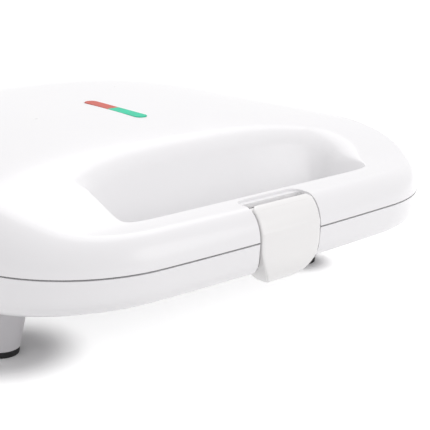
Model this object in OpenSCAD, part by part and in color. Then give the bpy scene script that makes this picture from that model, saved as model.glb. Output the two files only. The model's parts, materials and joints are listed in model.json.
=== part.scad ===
// Two-slice sandwich toaster: a domed lid hinged behind a shallow base, a handle loop shared by
// both halves at the front, and a latch clip that hangs from the lid and hooks under the base.
// Origin: middle of the footprint on the table. +X right, +Y towards the hinge, +Z up.
// Heights inside the modules count from the seam, where lid and base meet.

/* [Body outline] */
// Width of the body at its widest
body_w = 232; // [216:1:260]
// Depth of the body from the front of the handle to the back edge
body_d = 253.4; // [246:0.2:280]
// Distance of the widest place from the back edge
widest_from_back = 94.7; // [85:0.1:105]
// Radius of the front corners
front_corner_r = 50; // [42:1:56]
// Radius of the back corners
back_corner_r = 51; // [44:1:58]
// Radius of the bowed front edge
front_bow_r = 1300; // [900:10:2000]
// Radius of the bowed back edge
back_bow_r = 1064; // [800:2:2000]
// Radius of the bowed sides
side_bow_r = 541; // [440:1:800]

/* [Heights] */
// Height of the seam above the table
seam_z = 46; // [42:0.5:52]
// Height of the lid's crown above the seam
crown_h = 30; // [28:0.5:40]
// Height of the lid near its side edges
rim_h = 20; // [19:0.5:24]
// Height of the lid at the handle bar
bar_h = 11.6; // [11:0.1:14]
// Depth of the base at the handle bar
bar_b = 13; // [12:0.1:15]
// Depth of the base under the body
body_b = 16; // [15.5:0.1:17]
// Depth of the tub under the heater
tub_b = 24.5; // [24:0.1:28]
// Rise of the lid per millimetre behind the handle bar
ramp_slope = 0.40; // [0.36:0.01:0.5]
// Half of the dark line between lid and base
half_gap = 0.3; // [0.2:0.05:0.5]

/* [Shells] */
// Wall of the lid and the base
wall = 2.5; // [2:0.1:3]
// Radius along the lower edge of the base
base_edge_r = 7; // [5:0.5:8]
// Draft of the base's side
base_draft = 0.6; // [0.2:0.1:1.2]
// Edge rounding of the lid, as a share of its height
edge_share = 0.67; // [0.5:0.01:0.8]

/* [Handle] */
// Depth of the handle bar from front to back
bar_t = 17.3; // [16:0.1:20]
// Clear gap for the fingers behind the bar
grip_gap = 24.4; // [22:0.1:28]
// Length of the scoop from the bar back to its rim
scoop_len = 36.4; // [34:0.1:40]
// Half width of the scoop at its rim
scoop_half_w = 60; // [55:1:66]
// Half width of the finger gap
grip_half_w = 52; // [46:1:56]

/* [Latch] */
// Width of the latch clip
latch_w = 28.6; // [24:0.2:34]
// Gap beside the latch clip
latch_gap = 0.7; // [0.3:0.05:1]
// Thickness of the latch clip
latch_t = 2.8; // [2.4:0.1:3]
// How far the latch stands proud of the bar
latch_proud = 0.5; // [0.3:0.1:1]
// Width of the latch's rounded lower corners
latch_corner_w = 12; // [9:0.5:13]
// Height of the latch's rounded lower corners
latch_corner_h = 17; // [12:0.5:18]
// Radius of the curl that ends in the hook
hook_r = 12; // [10:0.5:12.5]
// How far the catch hangs below the bar
catch_drop = 3.8; // [3:0.1:5]
// Width of the catch
catch_w = 7.2; // [5:0.2:9]
// Radius of the latch pin
latch_pin_r = 1.5; // [1.2:0.1:1.8]

/* [Hinge] */
// Distance of the hinge axis behind the back edge
hinge_back = 5.8; // [5.6:0.1:8]
// Radius of the hinge knuckles
knuckle_r = 5; // [4.5:0.1:5.2]
// Radius of the hinge pins
hinge_pin_r = 2; // [1.6:0.1:2.4]
// Distance of each hinge from the middle
hinge_x = 60; // [50:1:70]
// Width of a lid knuckle
knuckle_w = 16; // [12:1:20]
// Width of a base ear
ear_w = 5.6; // [4:0.1:8]
// Gap between knuckle and ear
knuckle_gap = 0.4; // [0.3:0.1:0.6]
// Radial clearance of a turning pin
running_gap = 0.06; // [0.04:0.01:0.09]

/* [Cooking plates] */
// Width of a cooking plate's face
plate_w = 200; // [190:1:204]
// Depth of a cooking plate's face
plate_d = 130; // [120:1:134]
// Distance of the plates' middle from the body's back edge
plate_from_back = 102.7; // [100:0.1:105]
// Distance of a plate's face from the seam
face_gap = 0.4; // [0.3:0.05:0.8]
// Depth of the sandwich pockets
pocket_depth = 8; // [6:0.1:8.2]
// Metal behind a pocket
plate_skin = 2; // [1.6:0.1:2.2]
// Thickness of a plate's flange
flange_t = 1.5; // [1.2:0.1:2.2]
// Width of the rib between two pockets
rib_w = 7; // [5:0.5:10]
// Thickness of the liners
liner_t = 2; // [1.6:0.1:2.2]

/* [Heater] */
// Radius of the heating tube
element_r = 3; // [2.5:0.1:3.1]
// Half distance between the tube's legs
element_half = 30; // [24:1:34]
// How far a reflector tray stays inside the plate's sides
reflector_in_x = 19.5; // [18:0.5:25]
// How far a reflector tray stays inside the plate's front and back
reflector_in_y = 17; // [16:0.5:21]
// Thickness of a reflector tray
reflector_t = 0.8; // [0.5:0.1:1]

/* [Indicator] */
// Length of the whole lens strip
strip_len = 41; // [36:1:46]
// Width of the lens strip
strip_w = 5.6; // [5:0.1:7]
// Share of the strip that is red
red_share = 0.47; // [0.4:0.01:0.6]
// Distance of the strip's front end from the front of the body
strip_from_front = 85.7; // [82:0.1:90]

/* [Feet] */
// Radius of a leg at its top
leg_top_r = 12.5; // [11:0.1:13]
// Radius of a leg at its lower end
leg_low_r = 6.5; // [6:0.1:8]
// Thickness of a rubber pad
pad_t = 2.6; // [2:0.1:4]
// Distance of the front legs from the side of the body
leg_front_in = 38; // [36:0.5:40]
// Gap between the front legs and the tub
leg_front_gap = 1; // [0.5:0.1:3]
// Distance of the back legs from the side of the body
leg_back_in = 40; // [38:0.5:44]
// Distance of the back legs from the back edge
leg_back_y = 26.7; // [25:0.1:28]

/* [Fasteners and cord outlet] */
// Radius of a screw's shank
screw_r = 1.4; // [1.2:0.05:1.6]
// Radius of a screw's head
head_r = 2.8; // [2.4:0.1:3]
// Clearance round and under a screw
screw_gap = 0.05; // [0.03:0.01:0.1]
// Radius of the bore through the cord gland
gland_bore_r = 3.4; // [2.8:0.1:3.6]
// Radius of the gland's neck
gland_neck_r = 4.4; // [4.2:0.1:4.6]

/* [Hidden] */

$fn = 48;
tiny = 0.01;

// Places along Y
total_d = latch_proud + body_d + hinge_back + knuckle_r;
front_y = latch_proud - total_d / 2;
back_y = front_y + body_d;
mid_y = (front_y + back_y) / 2;
widest_y = back_y - widest_from_back;
bar_inner_y = front_y + bar_t;
loop_front_b = grip_gap * 0.71;
grip_y = bar_inner_y + loop_front_b;
grip_back_b = grip_gap - loop_front_b;
scoop_back_b = scoop_len - loop_front_b;
plate_y = back_y - plate_from_back;
hinge_y = back_y + hinge_back;
strip_front_y = front_y + strip_from_front;
strip_back_y = strip_front_y + strip_len;

// Heights from the seam
liner_low = half_gap * 2;
liner_top = liner_low + liner_t;
flange_low = liner_top + 0.3;
flange_top = flange_low + flange_t;
pocket_top = face_gap + pocket_depth;
plate_back = pocket_top + plate_skin;
element_z = plate_back + element_r + 0.1;
clamp_top = element_z + element_r + 0.7;
reflector_w = plate_w - 2 * reflector_in_x;
reflector_d = plate_d - 2 * reflector_in_y;
reflector_low = clamp_top + 0.2;
reflector_top = reflector_low + reflector_t;

// Shape of the crown, the ramp and the loops
crown_power = 3.6;
dome_power = 2.6;
rim_share = 0.89;
blend_crown = 6;
blend_bar = 3;
back_power = 2.5;
front_power = 8;
corner_power = 1.7;

// ---- Small helpers ----

function mix(a, b, t) = a + (b - a) * t;
function smooth_min(a, b, k) =
    let (h = max(k - abs(a - b), 0) / k) min(a, b) - h * h * k / 4;
function smooth_max(a, b, k) = -smooth_min(-a, -b, k);
function smooth_step(t) = let (u = min(max(t, 0), 1)) u * u * (3 - 2 * u);
function arc(c, r, a0, a1, n) =
    [for (k = [0:n]) let (a = mix(a0, a1, k / n)) c + r * [cos(a), sin(a)]];
function rounded_rect(w, d, r, n = 6) =
    let (x = w / 2 - r, y = d / 2 - r)
    concat(arc([x, y], r, 0, 90, n), arc([-x, y], r, 90, 180, n),
           arc([-x, -y], r, 180, 270, n), arc([x, -y], r, 270, 360, n));

module mirrored_x() {
    children();
    mirror([1, 0, 0]) children();
}

// Extrudes a Y-Z outline across the body, centred on X = 0
module across(w) {
    rotate([90, 0, 90]) translate([0, 0, -w / 2]) linear_extrude(w) children();
}

// Puts parts drawn upwards from the seam into the lid, or into the base
module in_lid() { translate([0, 0, seam_z]) children(); }
module in_base() { translate([0, 0, seam_z]) mirror([0, 0, 1]) children(); }

// ---- Plan outline: five tangent arcs on each side ----

front_c = [0, front_y + front_bow_r];
back_c = [0, back_y - back_bow_r];
side_c = [body_w / 2 - side_bow_r, widest_y];

// Centre of a circle of radius r that touches two larger circles from inside
function inner_centre(c1, r1, c2, r2, r, side) =
    let (d = norm(c2 - c1), a = r1 - r, b = r2 - r, u = (c2 - c1) / d,
         m = (d * d + a * a - b * b) / (2 * d), h = sqrt(a * a - m * m))
    c1 + u * m + side * h * [-u[1], u[0]];
function heading(from, to) = atan2(to[1] - from[1], to[0] - from[0]);

front_corner_c = inner_centre(front_c, front_bow_r, side_c, side_bow_r, front_corner_r, 1);
back_corner_c = inner_centre(back_c, back_bow_r, side_c, side_bow_r, back_corner_r, -1);
a_front = heading(front_c, front_corner_c);
a_low = heading(side_c, front_corner_c);
a_high = heading(side_c, back_corner_c);
a_back = heading(back_c, back_corner_c);

// Each entry holds a point of the outline and the direction inwards
function edge_arc(c, r, a0, a1, n) =
    [for (k = [0:n - 1]) let (a = mix(a0, a1, k / n), u = [cos(a), sin(a)]) [c + r * u, -u]];
right_edge = concat(
    edge_arc(front_c, front_bow_r, -90, a_front, 4),
    edge_arc(front_corner_c, front_corner_r, a_front, a_low, 8),
    edge_arc(side_c, side_bow_r, a_low, 0, 6),
    edge_arc(side_c, side_bow_r, 0, a_high, 4),
    edge_arc(back_corner_c, back_corner_r, a_high, a_back, 7),
    edge_arc(back_c, back_bow_r, a_back, 90, 5));
left_edge = [for (k = [len(right_edge) - 1:-1:1]) let (e = right_edge[k])
    [[-e[0][0], e[0][1]], [-e[1][0], e[1][1]]]];
edge = concat(right_edge, [[[0, back_y], [0, -1]]], left_edge);

function inset(d) = [for (e = edge) e[0] + d * e[1]];

// Closed loop round the finger gap: rounder at the back than at the bar
function grip_loop(half_w, back_b, grow = 0) =
    [for (e = edge)
        let (v = e[0] - [0, grip_y], u = v / norm(v), back = u[1] > 0,
             a = half_w + grow, b = grow + (back ? back_b : loop_front_b),
             p = back ? back_power : front_power,
             w = back ? [u[0] * a, u[1] * b] : u,
             r = pow(pow(abs(w[0]) / a, p) + pow(abs(w[1]) / b, p), -1 / p))
        [0, grip_y] + r * w];

// ---- Lid height above the seam ----

function crown(x, y) =
    let (s = pow(pow(abs(x) / (body_w / 2), crown_power)
               + pow(abs(y - mid_y) / (body_d / 2), crown_power), 1 / crown_power))
    rim_h + (crown_h - rim_h) * (1 - pow(s / rim_share, dome_power));
function ramp(y) = bar_h + ramp_slope * (y - bar_inner_y);
function lid_top(p) =
    smooth_max(smooth_min(crown(p[0], p[1]), ramp(p[1]), blend_crown), bar_h, blend_bar);
function base_depth(y) =
    mix(bar_b, body_b, smooth_step((y - front_y) / (bar_t + grip_gap)));

// Solid between closed rings of equal length, joined in a cycle
module ring_solid(rings) {
    n = len(rings[0]);
    m = len(rings);
    polyhedron(
        points = [for (r = rings) each r],
        faces = [for (j = [0:m - 1], i = [0:n - 1])
            let (a = j * n + i, b = j * n + (i + 1) % n,
                 c = ((j + 1) % m) * n + (i + 1) % n, d = ((j + 1) % m) * n + i)
            each [[a, c, b], [a, d, c]]],
        convexity = 8);
}

function raise(points, z) = [for (p = points) [p[0], p[1], z]];

// The lid's outer skin with w = 0, its hollow with w = wall
module lid_form(w, z0, shares, spans) {
    rim = grip_loop(scoop_half_w, scoop_back_b, w);
    band = [for (e = edge) edge_share * (lid_top(e[0] + 10 * e[1]) - w)];
    function edge_ring(f) = [for (i = [0:len(edge) - 1])
        let (p = edge[i][0] + (w + f * band[i]) * edge[i][1])
        [p[0], p[1], (lid_top(p) - w) * sqrt(1 - pow(1 - f, 2))]];
    last = edge_ring(1);
    function span_ring(t) = [for (i = [0:len(edge) - 1])
        let (p = mix([last[i][0], last[i][1]], rim[i], t)) [p[0], p[1], lid_top(p) - w]];
    ring_solid(concat(
        [raise(inset(w), z0)],
        [for (f = shares) edge_ring(f)],
        [for (t = spans) span_ring(t)],
        [span_ring(1)],
        [raise(grip_loop(grip_half_w, grip_back_b, w), z0)]));
}

// The base's outer skin with w = 0, its hollow with w = wall
module base_form(w, z0, turns) {
    r = base_edge_r - w;
    loop = grip_loop(grip_half_w, grip_back_b, w);
    function low(p) = base_depth(p[1]) - w;
    function edge_ring(a) = [for (e = edge)
        let (p = e[0] + (w + base_draft + r * (1 - cos(a))) * e[1])
        [p[0], p[1], low(p) - r * (1 - sin(a))]];
    last = edge_ring(90);
    function span_ring(t) = [for (i = [0:len(edge) - 1])
        let (p = mix([last[i][0], last[i][1]], loop[i], t)) [p[0], p[1], low(p)]];
    ring_solid(concat(
        [raise(inset(w), z0)],
        [for (a = turns) edge_ring(a)],
        [span_ring(0.5), span_ring(1)],
        [raise(loop, z0)]));
}

// ---- Places that several parts share ----

shell_screws = [
    [plate_w / 4, plate_y - plate_d / 2 - 16], [plate_w * 0.36, plate_y + plate_d / 2 + 17],
    [grip_half_w - 12, front_y + bar_t / 2 + 0.3]
];
plate_tab_x = 60;
plate_tab_y = plate_d / 2 + 7.5;
latch_pivot = [front_y + 7.7, 6];
notch_w = latch_w + 2 * latch_gap;
notch_back_y = front_y + 14.2;
notch_r = 4;
shelf_y = notch_back_y - 2.6;
shelf_z = bar_h - 0.7;
latch_wall = latch_t - 0.2;
hook_tip_y = front_y - latch_proud + hook_r + 1.1;
catch_y = front_y - latch_proud + latch_wall + 0.6;
catch_r = hook_r - latch_wall - 0.6;
nose_low = bar_b - 0.1;
catch_low = nose_low + catch_drop;
hook_low = catch_low + 0.4 + latch_wall;
lead_x = 25;
lead_bend_r = 6;
lead_r = 2.2;
gland_z = 7.6;
gland_slot_w = 18;
gland_slot_b = gland_z + gland_neck_r + 0.1;
gland_side_gap = 0.1;
clamp_spots = [[-24, 1], [38, 1], [-24, -1], [38, -1]];
leg_front_x = body_w / 2 - leg_front_in;
leg_back_x = body_w / 2 - leg_back_in;
tub_wide = [plate_w - 16, plate_d - 4];
tub_floor = [plate_w - 28, plate_d - 16];
tub_y = plate_y - 4;
tub_corner_r = 20;
leg_front_y = tub_y - tub_wide[1] / 2 - leg_top_r - leg_front_gap;
leg_spots = [
    [-leg_front_x, leg_front_y], [leg_front_x, leg_front_y],
    [-leg_back_x, back_y - leg_back_y], [leg_back_x, back_y - leg_back_y]
];

// ---- Shells ----

// Tapered tub under the heater, from depth z0 down to depth z1
module tub(shrink, z0, z1) {
    hull() {
        translate([0, tub_y, z0]) linear_extrude(tiny)
            polygon(rounded_rect(tub_wide[0] - 2 * shrink, tub_wide[1] - 2 * shrink, tub_corner_r, 4));
        translate([0, tub_y, z1]) linear_extrude(tiny)
            polygon(rounded_rect(tub_floor[0] - 2 * shrink, tub_floor[1] - 2 * shrink, tub_corner_r, 4));
    }
}

// Bosses that the liner screws bite into
module shell_bosses(top_of) {
    mirrored_x() for (k = [0:2]) let (p = shell_screws[k])
        translate([p[0], p[1], liner_top + screw_gap])
            cylinder(r = k == 2 ? 3.2 : 4, h = top_of[k] - liner_top);
}

module shell_pilots() {
    mirrored_x() for (p = shell_screws)
        translate([p[0], p[1], 0]) cylinder(r = screw_r + screw_gap, h = 9.6);
}

module lid_knuckles() {
    mirrored_x() translate([hinge_x, 0, 0]) {
        translate([0, hinge_y, 0]) rotate([0, 90, 0])
            cylinder(r = knuckle_r, h = knuckle_w, center = true);
        translate([-knuckle_w / 2, back_y - 3, half_gap]) cube([knuckle_w, hinge_back + 3, 4.4]);
    }
}

// Cut for the latch in the lid's bar, from height z0 up
module notch(y, z0, r) {
    translate([0, 0, z0]) linear_extrude(bar_h + 3) polygon(concat(
        [[-notch_w / 2, front_y - 2], [notch_w / 2, front_y - 2]],
        arc([notch_w / 2 - r, y - r], r, 0, 90, 4), arc([r - notch_w / 2, y - r], r, 90, 180, 4)));
}

module lid_shell() {
    color("white") in_lid() difference() {
        union() {
            difference() {
                lid_form(0, half_gap, [0.04, 0.16, 0.4, 0.7, 1], [0.15, 0.35, 0.55, 0.8]);
                lid_form(wall, -1, [0.06, 0.3, 1], [0.2, 0.4, 0.6, 0.8]);
                notch(shelf_y, -1, notch_r - (notch_back_y - shelf_y));
                notch(notch_back_y, shelf_z, notch_r);
            }
            shell_bosses([for (p = shell_screws) lid_top(p) - wall / 2]);
            mirrored_x() translate([notch_w / 2, front_y + 3.8, liner_top + screw_gap])
                cube([3.6, notch_back_y - front_y - 3.4, 6.8]);
            across(notch_w + 1) translate([notch_back_y - 2.8, 4.6]) square([3.6, 1.6]);
            lid_knuckles();
        }
        shell_pilots();
        hinge_bores(hinge_pin_r + running_gap);
        translate([0, latch_pivot[0], latch_pivot[1]]) rotate([0, 90, 0])
            cylinder(r = latch_pin_r + 0.02, h = notch_w + 8, center = true);
        strip_slot(0.15);
        lead_hole();
    }
}

module hinge_bores(r) {
    mirrored_x() translate([hinge_x, hinge_y, 0]) rotate([0, 90, 0])
        cylinder(r = r, h = 60, center = true);
}

module lead_hole() {
    translate([lead_x, back_y + 2, lead_bend_r]) rotate([90, 0, 0])
        cylinder(r = lead_r + 0.3, h = 8);
}

module base_ears() {
    mirrored_x() translate([hinge_x, 0, 0]) for (s = [-1, 1])
        translate([s * (knuckle_w / 2 + knuckle_gap + ear_w / 2), 0, 0]) {
            translate([0, hinge_y, 0]) rotate([0, 90, 0])
                cylinder(r = knuckle_r, h = ear_w, center = true);
            translate([-ear_w / 2, back_y - 3.5, half_gap])
                cube([ear_w, hinge_back + 3.5, 4.4]);
        }
}

// Solid nose inside the base's bar, with the catch that hangs from it and that the latch hooks under
function catch_outline(y, low, r) = concat(
    [[y, liner_top + screw_gap]], arc([y + r, low - r], r, 180, 90, 6),
    [[y + 9.5, low], [y + 9.5, liner_top + screw_gap]]);

module base_shell() {
    color("white") in_base() difference() {
        union() {
            difference() {
                union() {
                    base_form(0, half_gap, [0, 30, 60, 90]);
                    tub(0, body_b - 1.5, tub_b - tiny);
                }
                base_form(wall, -1, [0, 45, 90]);
                tub(wall, body_b - wall - 0.5, tub_b - wall - tiny);
                latch_space();
            }
            across(notch_w + 5) polygon(catch_outline(catch_y, nose_low, catch_r));
            across(catch_w) polygon(catch_outline(catch_y, catch_low, catch_r));
            shell_bosses([for (k = [0:2]) (k == 2 ? bar_b : body_b) - wall / 2]);
            for (p = leg_spots) translate([p[0], p[1], 7]) cylinder(r = 4.6, h = body_b - 7);
            base_ears();
        }
        shell_pilots();
        hinge_bores(hinge_pin_r + 0.02);
        for (p = leg_spots) translate([p[0], p[1], 6]) cylinder(r = 1.65, h = 12);
        lead_hole();
        translate([-gland_slot_w / 2, back_y - 6, -1])
            cube([gland_slot_w, 8, gland_slot_b + 1]);
    }
}

// Room in the base's bar for the front wall of the latch
module latch_space() {
    difference() {
        translate([-notch_w / 2, front_y - 3, -1])
            cube([notch_w, hook_tip_y - front_y + 3.6, bar_b + 4]);
        across(notch_w + 2) polygon(concat(
            [[catch_y, -2]], arc([catch_y + catch_r, nose_low - catch_r], catch_r, 180, 90, 6),
            [[catch_y + 20, nose_low], [catch_y + 20, -2]]));
    }
}

// ---- Liners ----

module liner(notch_back, grip_grow) {
    difference() {
        translate([0, 0, liner_low]) linear_extrude(liner_t) difference() {
            polygon(inset(wall + 0.6));
            polygon(grip_loop(grip_half_w, grip_back_b, grip_grow));
            translate([0, plate_y])
                polygon(rounded_rect(plate_w + 0.8, plate_d + 0.8, 12.4));
            translate([-notch_w / 2, front_y - 1]) square([notch_w, notch_back - front_y + 1]);
        }
        mirrored_x() for (p = shell_screws) translate([p[0], p[1], liner_low]) {
            translate([0, 0, -tiny]) cylinder(r = head_r + 0.2, h = 1.2);
            cylinder(r = screw_r + 0.2, h = liner_t + 1);
        }
        plate_tab_spots() translate([0, 0, liner_low + 0.5])
            cylinder(r = screw_r + screw_gap, h = liner_t);
    }
}

module lid_liner() { color("dimgray") in_lid() liner(notch_back_y, wall + 2.8); }
module base_liner() { color("dimgray") in_base() liner(catch_y, wall + 0.3); }

// ---- Cooking plates ----

module plate_tab_spots() {
    mirrored_x() for (s = [-1, 1]) translate([plate_tab_x, plate_y + s * plate_tab_y, 0])
        children();
}

// The four triangles of one plate: two slices, each cut corner to corner
slice_w = (plate_w - 3 * rib_w) / 2;
slice_d = plate_d - 2 * rib_w;
diag = norm([slice_w, slice_d]);
cut_x = rib_w / 2 * diag / slice_d;
cut_y = rib_w / 2 * diag / slice_w;
triangle = [[0, 0], [slice_w - cut_x, 0], [0, slice_d - cut_y]];

pocket_r = (triangle[1][0] + triangle[2][1] - norm([triangle[1][0], triangle[2][1]])) / 2;
pocket_draft = 0.9;
skin_side = 1.6;

// The slice's triangle, moved inwards by d on all three sides
function slice_inset(d) = let (c = [pocket_r, pocket_r])
    [for (p = triangle) mix(p, c, d / pocket_r)];

module frustum(low_pts, z0, high_pts, z1) {
    polyhedron(
        points = concat(raise(low_pts, z0), raise(high_pts, z1)),
        faces = [[0, 1, 2], [5, 4, 3], [0, 3, 4, 1], [1, 4, 5, 2], [2, 5, 3, 0]]);
}

module four_pockets(grow, low, high) {
    at_face = slice_inset(-grow);
    at_floor = slice_inset(pocket_depth * pocket_draft - grow);
    for (sx = [0, 1]) translate([0, plate_y, 0]) mirror([sx, 0, 0])
        translate([rib_w / 2, -slice_d / 2, 0]) {
            frustum(at_face, low, at_floor, high);
            translate([slice_w, slice_d, 0]) rotate([0, 0, 180])
                frustum(at_face, low, at_floor, high);
        }
}

module plate() {
    difference() {
        union() {
            translate([0, plate_y, face_gap]) linear_extrude(flange_low - face_gap + tiny)
                polygon(rounded_rect(plate_w, plate_d, 12));
            translate([0, plate_y, flange_low]) linear_extrude(flange_t)
                polygon(rounded_rect(plate_w + 7, plate_d + 7, 16));
            plate_tab_spots() translate([-5, -5, flange_low]) cube([10, 10, flange_t]);
            four_pockets(skin_side, flange_top - 0.5, plate_back);
        }
        four_pockets(0, face_gap - tiny, pocket_top);
        plate_tab_spots() cylinder(r = screw_r + 0.3, h = flange_top + 1);
    }
}

module upper_plate() { color("#3a3a3c") in_lid() plate(); }
module lower_plate() { color("#3a3a3c") in_base() plate(); }

module plate_screws() {
    plate_tab_spots() {
        translate([0, 0, liner_low + 0.6]) cylinder(r = screw_r, h = flange_top - liner_low);
        translate([0, 0, flange_top + screw_gap]) cylinder(r = head_r, h = 1.8);
    }
}

module upper_plate_screws() { color("silver") in_lid() plate_screws(); }
module lower_plate_screws() { color("silver") in_base() plate_screws(); }

module liner_screws() {
    mirrored_x() for (p = shell_screws) translate([p[0], p[1], liner_low]) {
        cylinder(r = head_r, h = 1);
        cylinder(r = screw_r, h = 8.4);
    }
}

module lid_screws() { color("silver") in_lid() liner_screws(); }
module base_screws() { color("silver") in_base() liner_screws(); }

// ---- Heating ----

element_bend_x = -44;
element_end_x = 66;
pin_len = 9;

module element() {
    translate([0, plate_y, element_z]) {
        for (s = [-1, 1]) translate([element_bend_x, s * element_half, 0]) rotate([0, 90, 0]) {
            cylinder(r = element_r, h = element_end_x - element_bend_x);
            cylinder(r = 1.1, h = element_end_x - element_bend_x + pin_len);
        }
        translate([element_bend_x, 0, 0]) rotate([0, 0, 90])
            rotate_extrude(angle = 180) translate([element_half, 0]) circle(r = element_r);
    }
}

module upper_element() { color("gray") in_lid() element(); }
module lower_element() { color("gray") in_base() element(); }

module element_clamps() {
    for (c = clamp_spots) translate([c[0], plate_y + c[1] * element_half, 0]) difference() {
        translate([-5, -6.5, plate_back + 0.1]) cube([10, 13, clamp_top - plate_back - 0.1]);
        translate([-6, 0, element_z]) rotate([0, 90, 0]) cylinder(r = element_r + 0.05, h = 12);
    }
}

module upper_element_clamps() { color("silver") in_lid() element_clamps(); }
module lower_element_clamps() { color("silver") in_base() element_clamps(); }

tray_rim = 3;

module reflector() {
    translate([0, plate_y, reflector_top - tray_rim]) difference() {
        linear_extrude(tray_rim) polygon(rounded_rect(reflector_w, reflector_d, 12));
        translate([0, 0, -1]) linear_extrude(tray_rim + 1 - reflector_t)
            polygon(rounded_rect(reflector_w - 2 * reflector_t, reflector_d - 2 * reflector_t,
                                 12 - reflector_t));
    }
}

module upper_reflector() { color("lightgray") in_lid() reflector(); }
module lower_reflector() { color("lightgray") in_base() reflector(); }

// Disc thermostat pressed against the lower plate between the element's legs
module thermostat() {
    color("saddlebrown") in_base() translate([30, plate_y, plate_back + 0.1]) {
        cylinder(r = 8, h = 4);
        for (s = [-1, 1]) translate([s * 4 - 1.5, -2.5, 3]) cube([3, 5, 3]);
    }
}

module thermal_fuse() {
    color("ivory") in_lid() translate([0, plate_y, flange_top + 2.4]) rotate([90, 0, 0]) {
        cylinder(r = 2.2, h = 13, center = true);
        cylinder(r = 0.6, h = 22, center = true);
    }
}

// ---- Wiring ----

// Tube swept along a bent line, with a mitred ring at each bend
module wire(points, r) {
    sides = 8;
    last = len(points) - 1;
    function way(k) = (points[k + 1] - points[k]) / norm(points[k + 1] - points[k]);
    function tangent(k) = k == 0 ? way(0) : k == last ? way(last - 1)
        : (way(k - 1) + way(k)) / norm(way(k - 1) + way(k));
    function side(t) = let (c = cross(t, abs(t[2]) > 0.8 ? [0, 1, 0] : [0, 0, 1])) c / norm(c);
    polyhedron(
        points = [for (k = [0:last], i = [0:sides - 1])
            let (t = tangent(k), u = side(t), v = cross(t, u), a = i * 360 / sides)
            points[k] + r * (cos(a) * u + sin(a) * v)],
        faces = concat(
            [[for (i = [0:sides - 1]) i], [for (i = [sides - 1:-1:0]) last * sides + i]],
            [for (k = [0:last - 1], i = [0:sides - 1])
                let (a = k * sides + i, b = k * sides + (i + 1) % sides)
                each [[a, a + sides, b + sides], [a, b + sides, b]]]));
}

wire_r = 1.2;
wire_end_x = element_end_x + pin_len + wire_r + 0.2;
block_y = back_y - 30;
block_half = 17;
plate_back_edge = plate_y + plate_d / 2;
block_z = 12;

module terminal_block() {
    color("ivory") in_base() translate([0, block_y, block_z]) difference() {
        translate([-block_half, -4.5, -6.5]) cube([2 * block_half, 9, 7.9]);
        for (k = [-1:1]) translate([k * 10, 0, -8]) cylinder(r = 2, h = 6);
    }
}

// A wire from the element's end out to the side and round behind the plate
function element_wire(s, ends) = let (x = wire_end_x + 6 - 2.2 * s, z = plate_back + wire_r + 0.6)
    concat([[wire_end_x, plate_y + s * element_half, element_z],
            [wire_end_x + 3, plate_y + s * element_half, z], [x, plate_y + s * element_half, z],
            [x, plate_back_edge - 8 - 3 * s, z]], ends);

module base_wiring() {
    color("firebrick") in_base() {
        for (s = [-1, 1]) wire(element_wire(s, [
            [wire_end_x - 6, plate_back_edge + 5 - 2 * s, block_z], [24, block_y - 2 * s, block_z],
            [block_half + 0.4, block_y - 2 * s, block_z]]), wire_r);
        wire([[lead_x, back_y - 4.8, lead_bend_r], [lead_x, back_y - 10, lead_bend_r],
              [lead_x - 8, block_y + 12, 8], [block_half - 3, block_y + 10, 8],
              [block_half - 3, block_y + 4.8, 8]], 1.8);
    }
}

module lid_wiring() {
    color("firebrick") in_lid() for (s = [-1, 1]) wire(element_wire(s, [
        [plate_w * 0.3, plate_back_edge + 15 - 3 * s, 9],
        [lead_x + 6 - 1.5 * s, plate_back_edge + 21 - 2 * s, 7],
        [lead_x - 1.5 * s, back_y - 9, lead_bend_r],
        [lead_x - 1.5 * s, back_y - 4.8, lead_bend_r]]), wire_r);
}

// Sleeved lead that loops from the base to the lid behind the back edge
module hinge_lead() {
    color("ivory") in_lid() translate([lead_x, back_y - 4.4, 0]) {
        for (s = [-1, 1]) translate([0, 0, s * lead_bend_r]) rotate([-90, 0, 0])
            cylinder(r = lead_r, h = 4);
        translate([0, 4, 0]) rotate([0, -90, 0])
            rotate_extrude(angle = 180) translate([lead_bend_r, 0]) circle(r = lead_r);
    }
}

// Block of the gland, as wide as the slot it slides down into plus grow, from depth z0 to z1
module gland_block(grow, z0, z1, y0, t) {
    translate([0, back_y + y0, (z0 + z1) / 2]) rotate([90, 0, 0]) linear_extrude(t)
        polygon(rounded_rect(gland_slot_w + grow, z1 - z0, 1, 3));
}

module cord_gland() {
    in_slot = -2 * gland_side_gap;
    low = gland_slot_b - gland_side_gap;
    under_lid = half_gap + 0.2;
    under_liner = liner_top + 0.3;
    color("#303032") in_base() difference() {
        union() {
            // Outer flange, the neck in its two steps, and the clip behind the wall
            gland_block(3, under_lid, gland_slot_b + 1.4, 1.8, 1.6);
            gland_block(in_slot, under_lid, low, 0.3, 3.1);
            gland_block(in_slot, under_liner, low, -2.7, 1);
            gland_block(2, under_liner, 9, -3.5, 1.4);
            translate([0, back_y - 3, gland_z]) rotate([90, 0, 0])
                cylinder(r = gland_neck_r, h = 3.6);
        }
        translate([0, back_y + 3, gland_z]) rotate([90, 0, 0])
            cylinder(r = gland_bore_r, h = 12);
    }
}

// ---- Indicator ----

red_front_y = strip_back_y - strip_len * red_share;
strip_rise = lid_top([0, strip_back_y]) - lid_top([0, strip_front_y]);
strip_z = (lid_top([0, strip_back_y]) + lid_top([0, strip_front_y])) / 2;
lens_proud = 0.3;
lens_flange_z = -wall - 1.1;

function pill(y0, y1, r) =
    concat(arc([0, y1 - r], r, 0, 180, 10), arc([0, y0 + r], r, 180, 360, 10));

// Draws at the strip's middle, level with the crown and tilted along it
module on_crown() {
    translate([0, (strip_front_y + strip_back_y) / 2, strip_z])
        rotate([asin(strip_rise / strip_len), 0, 0]) children();
}

module strip_slot(gap) {
    on_crown() translate([0, 0, -6]) linear_extrude(10)
        polygon(pill(-strip_len / 2 - gap, strip_len / 2 + gap, strip_w / 2 + gap));
}

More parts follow.
